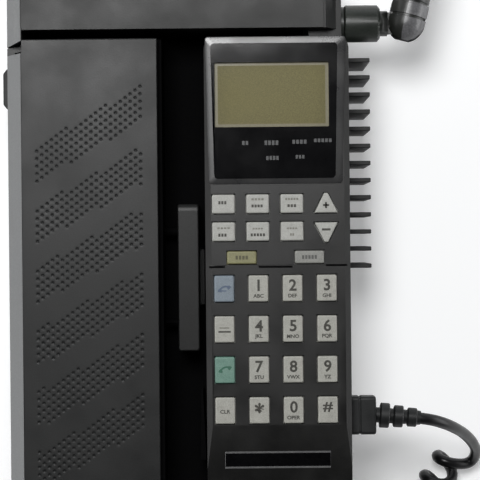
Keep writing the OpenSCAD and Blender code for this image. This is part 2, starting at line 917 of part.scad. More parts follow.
module earpiece() {
    color("black") {
        translate([handset_x, earpiece_y, bulge_z + handset_wall + 0.4])
            cylinder(h = 7, r = earpiece_r);
        translate([handset_x, earpiece_y, bulge_z + handset_wall + 7])
            cylinder(h = 4, r = 10);
    }
}

module microphone() {
    color("silver")
        translate([handset_x, microphone_y, bulge_z + handset_wall + 0.4])
            cylinder(h = 6, r = microphone_r);
}

// plug in the handset's side with a ribbed strain relief
module handset_plug() {
    color([0.12, 0.12, 0.13]) {
        block([handset_right + 0.1, plug_y - plug_w / 2, plug_z - plug_h / 2],
              [handset_right + plug_len, plug_y + plug_w / 2, plug_z + plug_h / 2]);
        block([handset_right - 4.5, plug_y - 5, plug_z - 4], [handset_right + 1, plug_y + 5, plug_z + 4]);
        translate([handset_right + plug_len - 1, plug_y, plug_z])
            rotate([0, 0, boot_tilt])
                rotate([0, 90, 0])
                    rotate_extrude()
                        polygon([[0, 0], [3.4, 0], [3.4, 2.6], [5.4, 2.8], [5.4, 6.8], [3.3, 7],
                                 [3.3, 8.4], [4.8, 8.6], [4.8, 12.8], [3.2, 13], [3.2, 14.4],
                                 [4.2, 14.6], [4, 19], [3.2, 19.6], [0, 19.6]]);
    }
}

// ---------- cord ----------

module cord_lead() {
    color([0.05, 0.05, 0.05])
        tube(LEAD, cord_d / 2, 10);
}

module cord_coil() {
    color([0.05, 0.05, 0.05])
        tube([for (p = COIL) [p[0], p[1], coil_d / 2]], coil_d / 2, 12);
}

module cord_tail() {
    color([0.05, 0.05, 0.05])
        tube(TAIL, cord_d / 2, 10);
}

back_housing();
deck_plate();
head_cover();
cradle();
heat_sink();
transceiver_board();
rf_shield();
antenna_socket();
case_screws();
battery_contacts();
handle_pins();
base_plug();
cord_coil();
cord_tail();
side_clamp();
battery_latch();
carry_handle();
hook_switch();
antenna_collar();
antenna_knuckle();
antenna_whip();
battery_cover();
battery_case();
battery_cells();
handset_front();
handset_back();
display_window();
lcd_module();
key_mat();
handset_board();
earpiece();
microphone();
handset_plug();
cord_lead();
for (k = KEYS)
    color(k[4])
            block_key(k);
for (a = ARROWS)
    color("gainsboro")
            arrow_key(a);
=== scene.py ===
import math

import bmesh
import bpy
from mathutils import Matrix, Vector


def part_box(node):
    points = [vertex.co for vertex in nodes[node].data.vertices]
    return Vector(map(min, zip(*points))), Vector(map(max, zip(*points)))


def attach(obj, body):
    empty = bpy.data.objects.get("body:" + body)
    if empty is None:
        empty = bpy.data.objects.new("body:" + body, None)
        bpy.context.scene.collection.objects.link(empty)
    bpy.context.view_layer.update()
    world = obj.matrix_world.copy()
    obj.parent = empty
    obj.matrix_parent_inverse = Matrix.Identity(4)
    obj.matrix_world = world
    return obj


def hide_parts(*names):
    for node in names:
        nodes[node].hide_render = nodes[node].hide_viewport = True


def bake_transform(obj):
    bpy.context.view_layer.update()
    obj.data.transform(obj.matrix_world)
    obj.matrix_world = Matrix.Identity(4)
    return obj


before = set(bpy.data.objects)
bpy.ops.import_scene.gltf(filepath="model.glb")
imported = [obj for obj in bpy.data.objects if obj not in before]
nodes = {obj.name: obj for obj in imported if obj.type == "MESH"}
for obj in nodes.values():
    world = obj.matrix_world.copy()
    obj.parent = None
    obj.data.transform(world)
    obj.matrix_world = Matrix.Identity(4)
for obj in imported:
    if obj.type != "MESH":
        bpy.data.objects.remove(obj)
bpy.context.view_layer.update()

MM = 0.001
scene = bpy.context.scene
scene.view_settings.view_transform = "Standard"
scene.view_settings.look = "None"


# ---------------------------------------------------------------- materials

def new_material(name):
    mat = bpy.data.materials.new(name)
    mat.use_nodes = True
    tree = mat.node_tree
    return mat, tree.nodes, tree.links, tree.nodes["Principled BSDF"]


def noise(n, links, coord, scale, detail=3.0, rough=0.55):
    tex = n.new("ShaderNodeTexNoise")
    tex.inputs["Scale"].default_value = scale
    tex.inputs["Detail"].default_value = detail
    tex.inputs["Roughness"].default_value = rough
    links.new(coord, tex.inputs["Vector"])
    return tex.outputs["Fac"]


def span(n, links, value, low, high, out_low, out_high):
    node = n.new("ShaderNodeMapRange")
    node.inputs["From Min"].default_value = low
    node.inputs["From Max"].default_value = high
    node.inputs["To Min"].default_value = out_low
    node.inputs["To Max"].default_value = out_high
    links.new(value, node.inputs["Value"])
    return node.outputs["Result"]


def mix(n, links, fac, a, b):
    node = n.new("ShaderNodeMix")
    node.data_type = "RGBA"
    links.new(fac, node.inputs["Factor"])
    for socket, value in (("A", a), ("B", b)):
        target = [i for i in node.inputs if i.name == socket and i.type == "RGBA"][0]
        if isinstance(value, tuple):
            target.default_value = (*value, 1)
        else:
            links.new(value, target)
    return [o for o in node.outputs if o.type == "RGBA"][0]


def plastic(name, dark, light, rough=0.45, grain=2200.0, depth=0.03, specular=0.5, mottle=60.0,
            rough_var=0.06, coat=0.0, metallic=0.0, dust=0.0):
    """Moulded plastic: a fine grain in bump, slow mottling and specks in colour, and uneven gloss."""
    mat, n, links, shader = new_material(name)
    coord = n.new("ShaderNodeTexCoord").outputs["Object"]
    slow = noise(n, links, coord, mottle, 3.0)
    fine = noise(n, links, coord, grain, 2.0)
    blend = mix(n, links, span(n, links, slow, 0.35, 0.65, 0.0, 1.0), dark, light)
    specks = mix(n, links, span(n, links, fine, 0.35, 0.75, 0.0, 0.5), blend,
                 tuple(min(1.0, c * 1.7 + 0.0006) for c in light))
    colour = specks
    if dust:
        spots = noise(n, links, coord, 900.0, 4.0, 0.7)
        colour = mix(n, links, span(n, links, spots, 0.68, 0.8, 0.0, dust), specks, (0.35, 0.34, 0.32))
    links.new(colour, shader.inputs["Base Color"])
    links.new(span(n, links, slow, 0.3, 0.7, rough - rough_var, rough + rough_var),
              shader.inputs["Roughness"])
    if depth:
        bump = n.new("ShaderNodeBump")
        bump.inputs["Strength"].default_value = 0.5
        bump.inputs["Distance"].default_value = depth * MM
        links.new(fine, bump.inputs["Height"])
        links.new(bump.outputs["Normal"], shader.inputs["Normal"])
    shader.inputs["Specular IOR Level"].default_value = specular
    shader.inputs["Metallic"].default_value = metallic
    shader.inputs["Coat Weight"].default_value = coat
    return mat


BODY = plastic("body_charcoal", (0.0058, 0.0061, 0.006), (0.0085, 0.0088, 0.0083), 0.42, 1500, 0.05,
               0.26, 45)
# Painted light: a lighter, glossier copy of the body plastic, used only on faces that face left (-X). Those
# sides show a painted reflection of the bright surroundings.
BODY_LEFT_PAINTED_LIGHT = plastic("body_left_painted_light", (0.05, 0.052, 0.053), (0.065, 0.068, 0.069), 0.45, 1500, 0.05, 0.8, 45)
CLAMP = plastic("clamp_charcoal", (0.0055, 0.0057, 0.0057), (0.008, 0.0083, 0.008), 0.42, 1500, 0.05,
                0.26, 45)
BATTERY = plastic("battery_charcoal", (0.0048, 0.0051, 0.0052), (0.0072, 0.0075, 0.0074), 0.42, 1500, 0.05,
                  0.32, 45)
# Painted shade: a darker copy of the battery plastic for the inner walls and floor of each dimple.
DIMPLE_SHADE = plastic("dimple_painted_shade", (0.0036, 0.0039, 0.004), (0.0056, 0.0058, 0.0058), 0.5, 1500, 0.03, 0.24)
CRADLE = plastic("cradle_black", (0.0012, 0.0012, 0.0013), (0.002, 0.002, 0.0022), 0.75, 1800, 0.04, 0.025)
HANDSET = plastic("handset_charcoal", (0.0042, 0.0042, 0.0041), (0.0062, 0.0061, 0.0058), 0.37, 1900, 0.04,
                  0.37, 60)
HANDSET_SIDE = plastic("handset_side", (0.006, 0.006, 0.0059), (0.009, 0.0088, 0.0085), 0.5, 1900, 0.04,
                       0.18, 60)
HANDSET_BACK = plastic("handset_back_charcoal", (0.012, 0.012, 0.012), (0.017, 0.017, 0.0165), 0.45, 1700,
                       0.05)
GLOSS = plastic("plate_gloss", (0.0016, 0.0016, 0.0019), (0.0024, 0.0024, 0.0028), 0.1, 900, 0.0, 0.4,
                rough_var=0.02)
RIM = plastic("plate_rim", (0.016, 0.016, 0.017), (0.022, 0.022, 0.022), 0.3, 1500, 0.01, 0.7)
KEY_WHITE = plastic("key_warm_white", (0.235, 0.232, 0.208), (0.28, 0.277, 0.25), 0.42, 2500, 0.02, 0.4,
                    300)
KEY_GREY = plastic("key_light_grey", (0.255, 0.255, 0.236), (0.295, 0.295, 0.275), 0.42, 2500, 0.02, 0.4, 300)
TAB_GREY = plastic("key_tab_grey", (0.16, 0.16, 0.148), (0.19, 0.19, 0.176), 0.42, 2500, 0.02, 0.4, 300)
KEY_BLUE = plastic("key_blue_grey", (0.118, 0.146, 0.17), (0.145, 0.173, 0.2), 0.42, 2500, 0.02, 0.4, 300)
KEY_GREEN = plastic("key_green", (0.083, 0.161, 0.128), (0.107, 0.192, 0.155), 0.42, 2500, 0.02, 0.4, 300)
KEY_YELLOW = plastic("key_yellow", (0.136, 0.131, 0.063), (0.167, 0.16, 0.08), 0.42, 2500, 0.02, 0.4, 300)
INK = plastic("key_ink", (0.022, 0.021, 0.018), (0.04, 0.038, 0.032), 0.5, 2500, 0.0, 0.3, 400)
INK_SOFT = plastic("key_ink_soft", (0.11, 0.106, 0.09), (0.15, 0.146, 0.125), 0.5, 2500, 0.0, 0.3, 400)
LEGEND = plastic("plate_legend", (0.018, 0.019, 0.02), (0.035, 0.036, 0.037), 0.4, 2500, 0.0, 0.4, 500)
PLATE_LINE = plastic("plate_line", (0.07, 0.07, 0.072), (0.095, 0.095, 0.095), 0.35, 2500, 0.0, 0.5, 300)
LCD = plastic("lcd_olive", (0.103, 0.091, 0.034), (0.118, 0.105, 0.041), 0.4, 2600, 0.0, 0.15, 30)
LCD_EDGE = plastic("lcd_edge", (0.125, 0.112, 0.062), (0.142, 0.128, 0.075), 0.4, 2600, 0.0, 0.4, 60)
CASTING = plastic("casting_black", (0.0045, 0.005, 0.005), (0.0075, 0.008, 0.008), 0.5, 1300, 0.06,
                  0.3, 80)
RUBBER = plastic("cord_rubber", (0.003, 0.003, 0.0034), (0.0048, 0.0048, 0.0053), 0.33, 1200, 0.015, 0.3, 200)
PLUG = plastic("plug_rubber", (0.007, 0.0078, 0.008), (0.011, 0.0118, 0.012), 0.45, 1800, 0.04, 0.28, 120)
ANTENNA = plastic("antenna_grey", (0.013, 0.0155, 0.0135), (0.021, 0.024, 0.0205), 0.36, 1200, 0.03, 0.4, 100)
KNUCKLE = plastic("knuckle_grey", (0.075, 0.075, 0.078), (0.11, 0.11, 0.114), 0.34, 1200, 0.02, 0.5, 100)
# Black rubber of the whip, also laid on the left side of the antenna's barrel as painted shade.
WHIP_BLACK_AND_SHADE = plastic("whip_rubber_and_painted_shade", (0.01, 0.011, 0.01), (0.016, 0.017, 0.015), 0.38, 900, 0.03, 0.5, 150)
STEEL = plastic("plated_steel", (0.45, 0.45, 0.46), (0.55, 0.55, 0.56), 0.3, 1800, 0.01, 0.5, 90,
                metallic=1.0)
BRASS = plastic("contact_brass", (0.5, 0.36, 0.14), (0.62, 0.46, 0.2), 0.28, 1500, 0.01, 0.5, 90,
                metallic=1.0)
BOARD = plastic("board_green", (0.012, 0.06, 0.025), (0.02, 0.085, 0.035), 0.35, 900, 0.02, 0.5, 120)
CELL = plastic("cell_sleeve", (0.05, 0.1, 0.2), (0.07, 0.13, 0.25), 0.3, 900, 0.01, 0.5, 60)
MAT_GREY = plastic("mat_grey", (0.06, 0.06, 0.06), (0.08, 0.08, 0.08), 0.6, 1500, 0.03, 0.3)
GRIP = plastic("grip_black", (0.008, 0.008, 0.009), (0.013, 0.013, 0.014), 0.5, 1100, 0.07, 0.45, 90)


# ---------------------------------------------------------------- mesh helpers

def build(name, verts, faces, mats, picks=None, smooth=35.0, merge=0.0):
    """A mesh object from points in millimetres."""
    mesh = bpy.data.meshes.new(name)
    mesh.from_pydata([(x * MM, y * MM, z * MM) for x, y, z in verts], [], faces)
    for m in mats:
        mesh.materials.append(m)
    if picks:
        mesh.polygons.foreach_set("material_index", picks)
    if merge:
        bm = bmesh.new()
        bm.from_mesh(mesh)
        bmesh.ops.remove_doubles(bm, verts=bm.verts, dist=merge * MM)
        bm.to_mesh(mesh)
        bm.free()
    finish_mesh(mesh, smooth)
    obj = bpy.data.objects.new(name, mesh)
    scene.collection.objects.link(obj)
    if smooth:
        weigh(obj)
    return obj


def weigh(obj):
    """Large faces keep their own normals; only the small rounded ones between them bend."""
    mod = obj.modifiers.new("weighted", "WEIGHTED_NORMAL")
    mod.mode = "FACE_AREA"
    mod.weight = 80
    mod.keep_sharp = True


def finish_mesh(mesh, smooth):
    bm = bmesh.new()
    bm.from_mesh(mesh)
    bmesh.ops.recalc_face_normals(bm, faces=bm.faces)
    bm.to_mesh(mesh)
    bm.free()
    if smooth:
        mesh.shade_smooth()
        mesh.set_sharp_from_angle(angle=math.radians(smooth))
    mesh.update()


def skin(node, mats, body, bevel=0.0, segments=2, smooth=35.0, pick=None, min_edge=1.2, limit=38.0):
    """A finished copy of a CAD node: its flat faces made whole, its long edges rounded over."""
    src = nodes[node]
    mesh = src.data.copy()
    mesh.transform(src.matrix_world)
    mesh.materials.clear()
    for m in mats:
        mesh.materials.append(m)
    bm = bmesh.new()
    bm.from_mesh(mesh)
    bmesh.ops.remove_doubles(bm, verts=bm.verts, dist=1e-6)
    bmesh.ops.dissolve_limit(bm, angle_limit=math.radians(1.0), verts=bm.verts, edges=bm.edges)
    if bevel:
        sharp = [e for e in bm.edges if len(e.link_faces) == 2
                 and math.degrees(e.calc_face_angle(0)) > limit and e.calc_length() > min_edge * MM]
        bmesh.ops.bevel(bm, geom=sharp, offset=bevel * MM, offset_type="OFFSET", segments=segments,
                        profile=0.5, affect="EDGES", clamp_overlap=True)
    bmesh.ops.recalc_face_normals(bm, faces=bm.faces)
    for f in bm.faces:
        f.material_index = 0
        if pick:
            f.material_index = pick(f.calc_center_median() * 1000, f.normal)
    bm.to_mesh(mesh)
    bm.free()
    mesh.shade_smooth()
    mesh.set_sharp_from_angle(angle=math.radians(smooth))
    obj = bpy.data.objects.new(node + "_skin", mesh)
    scene.collection.objects.link(obj)
    weigh(obj)
    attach(obj, body)
    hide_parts(node)
    return obj


def put(obj, body, slot, *replaced):
    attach(obj, body)
    if replaced:
        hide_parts(*replaced)
    return obj


def rounded(w, h, r, n=5):
    """Points of a rectangle with round corners, counter-clockwise."""
    pts = []
    for k, (sx, sy) in enumerate(((1, 1), (-1, 1), (-1, -1), (1, -1))):
        for i in range(n + 1):
            a = math.radians(90 * k + 90 * i / n)
            pts.append((sx * (w / 2 - r) + r * math.cos(a), sy * (h / 2 - r) + r * math.sin(a)))
    return pts


def stack(rings, closed_low=True, closed_high=True):
    """Faces joining rings of equal count."""
    verts, faces = [], []
    n = len(rings[0])
    for ring in rings:
        verts += ring
    for i in range(len(rings) - 1):
        for k in range(n):
            a, b = i * n + k, i * n + (k + 1) % n
            faces.append((a, b, b + n, a + n))
    if closed_low:
        faces.append(tuple(range(n - 1, -1, -1)))
    if closed_high:
        faces.append(tuple((len(rings) - 1) * n + k for k in range(n)))
    return verts, faces


def revolve(profile, sides, matrix, ripple=None):
    """A turned form about local Z: profile is (radius, height), ripple(angle, height) adds to the radius."""
    rings = []
    for r, z in profile:
        ring = []
        for k in range(sides):
            a = 2 * math.pi * k / sides
            rr = max(r + (ripple(a, z) if ripple and r > 0.5 else 0), 0.001)
            ring.append(tuple(matrix @ Vector((rr * math.cos(a), rr * math.sin(a), z))))
        rings.append(ring)
    return stack(rings)


def glyphs(text, size, bold, width=1.0):
    """Flat faces of a short text, centred, in millimetres."""
    curve = bpy.data.curves.new("glyphs", "FONT")
    curve.body = text
    curve.size = size
    curve.align_x = "CENTER"
    curve.align_y = "CENTER"
    curve.offset = bold
    curve.fill_mode = "FRONT"
    curve.resolution_u = 3
    obj = bpy.data.objects.new("glyphs", curve)
    scene.collection.objects.link(obj)
    bpy.context.view_layer.update()
    mesh = bpy.data.meshes.new_from_object(obj.evaluated_get(bpy.context.evaluated_depsgraph_get()))
    verts = [(v.co.x * width, v.co.y) for v in mesh.vertices]
    faces = [tuple(p.vertices) for p in mesh.polygons]
    bpy.data.objects.remove(obj)
    bpy.data.curves.remove(curve)
    bpy.data.meshes.remove(mesh)
    if verts:
        mx = (min(v[0] for v in verts) + max(v[0] for v in verts)) / 2
        my = (min(v[1] for v in verts) + max(v[1] for v in verts)) / 2
        verts = [(x - mx, y - my) for x, y in verts]
    return verts, faces


def dash_mark(w, h):
    return [(-w / 2, -h / 2), (w / 2, -h / 2), (w / 2, h / 2), (-w / 2, h / 2)], [(0, 1, 2, 3)]


def receiver_mark(size):
    """A generic handset symbol: a bowed bar with two caps, tilted."""
    verts, faces = [], []
    steps = 8
    for i in range(steps + 1):
        a = math.radians(150 - 120 * i / steps)
        thick = 0.16 + (0.2 if i in (0, 1, steps - 1, steps) else 0)
        for r in (1 - thick, 1 + thick * 0.6):
            x, y = r * math.cos(a) * size, (r * math.sin(a) - 0.75) * size
            verts.append((x * 0.94 - y * 0.34, x * 0.34 + y * 0.94))
    for i in range(steps):
        faces.append((2 * i, 2 * i + 2, 2 * i + 3, 2 * i + 1))
    return verts, faces


# ---------------------------------------------------------------- sizes shared with the CAD

def area(node):
    low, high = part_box(node)
    return low * 1000, high * 1000


FACE = 72.0  # the handset's front face
KEY_TOP = 73.3
PLATE_TOP = 72.2
PLATE_X = 42.6  # the display plate's centre
BASE_HALF = 72.0  # half the base's width
BASE_TOP = 62.0  # the base's front face
SPLIT = 50.0  # where the battery's cover meets its case
CORD_R = 2.5
HINGE = (100.6, 99.6, 45.0)  # the antenna's tilt pin
LEAN = 14.0  # degrees the antenna leans out at rest

# ---------------------------------------------------------------- keys

GRID = [["1", "2", "3"], ["4", "5", "6"], ["7", "8", "9"], ["star", "0", "hash"]]
LETTERS = {"1": "ABC", "2": "DEF", "3": "GHI", "4": "JKL", "5": "MNO", "6": "PQR", "7": "STU",
           "8": "VWX", "9": "YZ", "0": "OPER", "star": "", "hash": ""}


def key_piece(node, mat, ink, marks, outline=None, r=0.7):
    low, high = area(node)
    cx, cy = (low.x + high.x) / 2, (low.y + high.y) / 2
    w, h = high.x - low.x - 1.2, high.y - low.y - 1.2
    levels = [(low.z, -0.6), (low.z + 0.9, -0.6), (low.z + 0.9, 0.0), (KEY_TOP - 1.0, 0.0),
              (KEY_TOP - 0.35, 0.1), (KEY_TOP - 0.1, 0.3), (KEY_TOP, 0.62)]
    rings = []
    for z, inset in levels:
        if outline:
            pts = outline(inset)
        else:
            pts = rounded(w - 2 * inset, h - 2 * inset, max(r - inset * 0.4, 0.25))
        rings.append([(cx + x, cy + y, z) for x, y in pts])
    verts, faces = stack(rings)
    picks = [0] * len(faces)
    for (mv, mf), dx, dy, which in marks:
        base = len(verts)
        verts += [(cx + dx + x, cy + dy + y, KEY_TOP + 0.015) for x, y in mv]
        faces += [tuple(base + i for i in f) for f in mf]
        picks += [which] * len(mf)
    obj = build(node + "_cap", verts, faces, [mat, ink, INK_SOFT], picks, 40)
    return put(obj, node, "key_white", node)


for row in range(4):
    for col in range(3):
        name = GRID[row][col]
        shown = {"star": "*", "hash": "#"}.get(name, name)
        if name == "star":
            marks = [(glyphs("*", 9.0, 0.22), 0, 1.0, 1)]
        elif name == "hash":
            marks = [(glyphs("#", 5.6, 0.14, 1.2), 0, 1.2, 1)]
        else:
            marks = [(glyphs(shown, 6.6, 0.17), 0.1, 1.35, 1),
                     (glyphs(LETTERS[name], 2.1, 0.07, 1.05), 0, -3.1, 1)]
        key_piece("key_" + name, KEY_WHITE, INK, marks)

INK_NAVY = plastic("ink_navy", (0.03, 0.05, 0.09), (0.05, 0.075, 0.12), 0.5, 2500, 0.0)
key_piece("end_key", KEY_BLUE, INK_NAVY,
          [(receiver_mark(2.9), 0, 0.2, 1), (dash_mark(2.0, 0.5), 0, -0.9, 1)])
key_piece("store_key", KEY_WHITE, INK, [(dash_mark(4.0, 0.55), 0, 0.6, 2), (dash_mark(5.2, 0.7), 0, -1.0, 1)])
INK_GREEN = plastic("ink_green", (0.01, 0.07, 0.04), (0.015, 0.09, 0.055), 0.5, 2500, 0.0)
key_piece("call_key", KEY_GREEN, INK_GREEN, [(receiver_mark(2.9), 0, 0.5, 1)])
key_piece("clear_key", KEY_WHITE, INK, [(glyphs("CLR", 2.2, 0.06, 1.05), 0, -0.4, 1)])

MENU = [[(3.7, 1.35, -0.4, 0.6, 1)], [(5.6, 0.9, 0, 1.9, 2), (5.0, 1.2, -0.2, -0.9, 1)],
        [(5.8, 0.9, 0, 1.9, 2), (4.0, 1.2, 0, -0.9, 1)], [(5.6, 0.7, 0, 1.5, 2), (3.8, 1.3, -0.5, -1.4, 1)],
        [(4.6, 0.7, 0, 1.2, 2), (6.4, 1.2, 0, -1.4, 1)], [(4.6, 0.7, 0, 1.2, 2), (2.0, 1.0, 0, -1.4, 2)]]
for i, bars in enumerate(MENU):
    marks = []
    for w, h, dx, dy, which in bars:
        count = max(2, int(w / 1.15))
        for k in range(count):
            step = w / count
            marks.append((dash_mark(step * 0.72, h), dx - w / 2 + step * (k + 0.5), dy, which))
    key_piece(f"menu_key_{i + 1}", KEY_GREY, INK, marks)


def tab_marks(w, h):
    count = int(w / 1.2)
    return [(dash_mark(w / count * 0.7, h), -w / 2 + w / count * (k + 0.5), 0, 1) for k in range(count)]


INK_OLIVE = plastic("ink_olive", (0.035, 0.032, 0.008), (0.05, 0.046, 0.012), 0.5, 2500, 0.0)
key_piece("yellow_tab", KEY_YELLOW, INK_OLIVE, tab_marks(5.6, 1.6))
INK_TAB = plastic("ink_tab", (0.04, 0.04, 0.037), (0.06, 0.06, 0.055), 0.5, 2500, 0.0)
key_piece("white_tab", TAB_GREY, INK_TAB, tab_marks(6.6, 1.6))


def arrow_shape(way, w, h):
    def outline(inset):
        tip = 0.7
        lift = inset * 0.75
        pts = [(-w / 2 + inset * 1.5, -way * (h / 2 - lift)), (w / 2 - inset * 1.5, -way * (h / 2 - lift)),
               (tip, way * (h / 2 - inset * 1.2)), (-tip, way * (h / 2 - inset * 1.2))]
        out = []
        for i, p in enumerate(pts):
            q = pts[(i + 1) % 4]
            for t in (0.0, 0.06, 0.5, 0.94):
                out.append((p[0] + (q[0] - p[0]) * t, p[1] + (q[1] - p[1]) * t))
        return out
    return outline


plus = [(dash_mark(2.6, 0.85), 0, 0, 1), (dash_mark(0.85, 2.6), 0, 0, 1)]
key_piece("up_key", KEY_GREY, INK, [(m, dx, dy - 1.0, k) for m, dx, dy, k in plus], arrow_shape(1, 9.8, 8.4))
key_piece("down_key", KEY_GREY, INK, [(dash_mark(3.6, 0.9), 0, 1.2, 1)], arrow_shape(-1, 9.8, 8.4))

# ---------------------------------------------------------------- display plate

lcd_x, lcd_y, lcd_w, lcd_h = 41.5, 67.3, 47.9, 27.2


# centre, width and height of each row of blocks under the display
PLATE_LEGENDS = ((30.2, 47.0, 3.0, 1.7), (41.2, 47.0, 6.2, 1.9), (53.0, 47.3, 6.4, 1.7),
                 (62.8, 47.8, 7.8, 1.5), (41.6, 40.6, 5.6, 1.7), (53.2, 41.0, 4.0, 1.5))


def plate_ring(inset, z):
    top = 53.4 / 2 - inset
    low = 51.0 / 2 - inset
    y0, y1 = 32 + inset, 88.9 - inset
    r = max(1.6 - inset * 0.4, 0.4)
    pts = []
    for cx, cy, a0 in ((PLATE_X + top - r, y1 - r, 0), (PLATE_X - top + r, y1 - r, 90),
                       (PLATE_X - low + r, y0 + r, 180), (PLATE_X + low - r, y0 + r, 270)):
        for i in range(6):
            a = math.radians(a0 + 18 * i)
            pts.append((cx + r * math.cos(a), cy + r * math.sin(a), z))
    return pts


def lcd_ring(grow, z):
    return [(lcd_x + x, lcd_y + y, z) for x, y in rounded(lcd_w + 2 * grow, lcd_h + 2 * grow, 0.5, 5)]


def rim_ring(grow, z):
    """The plate's outline moved out by grow, a share of the way to the handset's edge."""
    pts = []
    for x, y, _ in plate_ring(0.0, z):
        side = grow * (2.35 if x < PLATE_X else (2.9 if y < 87 else 3.5))
        end = 2.75 if y > 60 else 2.3
        dx = 1 if x > PLATE_X else -1
        dy = 1 if y > 60 else -1
        pts.append((x + dx * side, y + dy * end * grow, z))
    return pts


def display_plate():
    rings = [plate_ring(0.0, 70.7), plate_ring(0.0, PLATE_TOP), plate_ring(0.6, PLATE_TOP),
             lcd_ring(0.9, PLATE_TOP), lcd_ring(0.0, PLATE_TOP), lcd_ring(0.0, 70.62)]
    verts, faces = stack(rings, closed_low=False, closed_high=False)
    picks = [0] * len(faces)
    for x, y, w, h in PLATE_LEGENDS:
        count = max(2, round(w / 1.5))
        for k in range(count):
            step = w / count
            cx = x - w / 2 + step * (k + 0.5)
            base = len(verts)
            verts += [(cx + sx * step * 0.36, y + sy * h / 2, 72.22)
                      for sx, sy in ((-1, -1), (1, -1), (1, 1), (-1, 1))]
            faces.append((base, base + 1, base + 2, base + 3))
            picks.append(1)
    obj = build("display_plate", verts, faces, [GLOSS, LEGEND], picks, 50)
    put(obj, "handset", "black_gloss", "display_window")
    rings = [rim_ring(0.0, 71.8), rim_ring(0.0, 72.52), rim_ring(0.5, 72.34), rim_ring(0.9, 72.18),
             rim_ring(1.0, 72.08), rim_ring(1.0, 71.8)]
    verts, faces = stack(rings, closed_low=False, closed_high=False)
    obj = build("display_rim", verts, faces, [RIM], None, 50)
    put(obj, "handset", "charcoal_plastic")


display_plate()


def lcd_panel():
    rings = [lcd_ring(0.3, 66.5), lcd_ring(0.3, 70.6), lcd_ring(-0.5, 70.62), lcd_ring(-1.3, 70.64)]
    verts, faces = stack(rings)
    n = len(rings[0])
    picks = [1 if i < 3 * n else 0 for i in range(len(faces))]
    obj = build("lcd_panel", verts, faces, [LCD, LCD_EDGE], picks, 30)
    return put(obj, "handset", "lcd_glass", "lcd_module")


lcd_panel()


def seam():
    """The shadow line that crosses the handset between the two tabs."""
    verts, faces = [], []
    for a, b, y in ((14.6, 21.2, -5.0), (35.4, 49.6, -5.1), (63.8, 72.6, -4.6)):
        base = len(verts)
        for z in (FACE - 0.3, FACE + 0.02):
            verts += [(a, y - 0.42, z), (b, y - 0.42, z), (b, y + 0.42, z), (a, y + 0.42, z)]
        faces += [(base + 4, base + 5, base + 6, base + 7)]
        faces += [(base + k, base + (k + 1) % 4, base + 4 + (k + 1) % 4, base + 4 + k) for k in range(4)]
    obj = build("handset_seam", verts, faces, [CRADLE], None, 0)
    return put(obj, "handset", "black_plastic")


seam()

# ---------------------------------------------------------------- nameplate strip

def nameplate():
    x0, x1, y0, y1 = 20.6, 65.0, -89.9, -82.7
    verts, faces, picks = [], [], []

    def slab(a, b, c, d, z0, z1, mat, r=0.4):
        ring0 = [((a + b) / 2 + x, (c + d) / 2 + y, z0) for x, y in rounded(b - a, d - c, r, 3)]
        ring1 = [((a + b) / 2 + x, (c + d) / 2 + y, z1 - 0.1) for x, y in rounded(b - a, d - c, r, 3)]
        ring2 = [((a + b) / 2 + x, (c + d) / 2 + y, z1)
                 for x, y in rounded(b - a - 0.2, d - c - 0.2, r * 0.8, 3)]
        v, f = stack([ring0, ring1, ring2])
        base = len(verts)
        verts.extend(v)
        faces.extend(tuple(base + i for i in q) for q in f)
        picks.extend([mat] * len(f))

    slab(x0, x1, y0, y1, FACE - 0.4, FACE + 0.12, 0)
    slab(x0, x1, y1 - 0.75, y1, FACE, FACE + 0.34, 1, 0.25)
    slab(x0, x1, y0, y0 + 0.75, FACE, FACE + 0.34, 1, 0.25)
    verts = [(x, y, z - 0.131 * (-72 - y)) for x, y, z in verts]
    obj = build("nameplate", verts, faces, [GLOSS, PLATE_LINE], picks, 40)
    return put(obj, "handset", "black_gloss")


nameplate()

# ---------------------------------------------------------------- battery cover with its dimpled bands

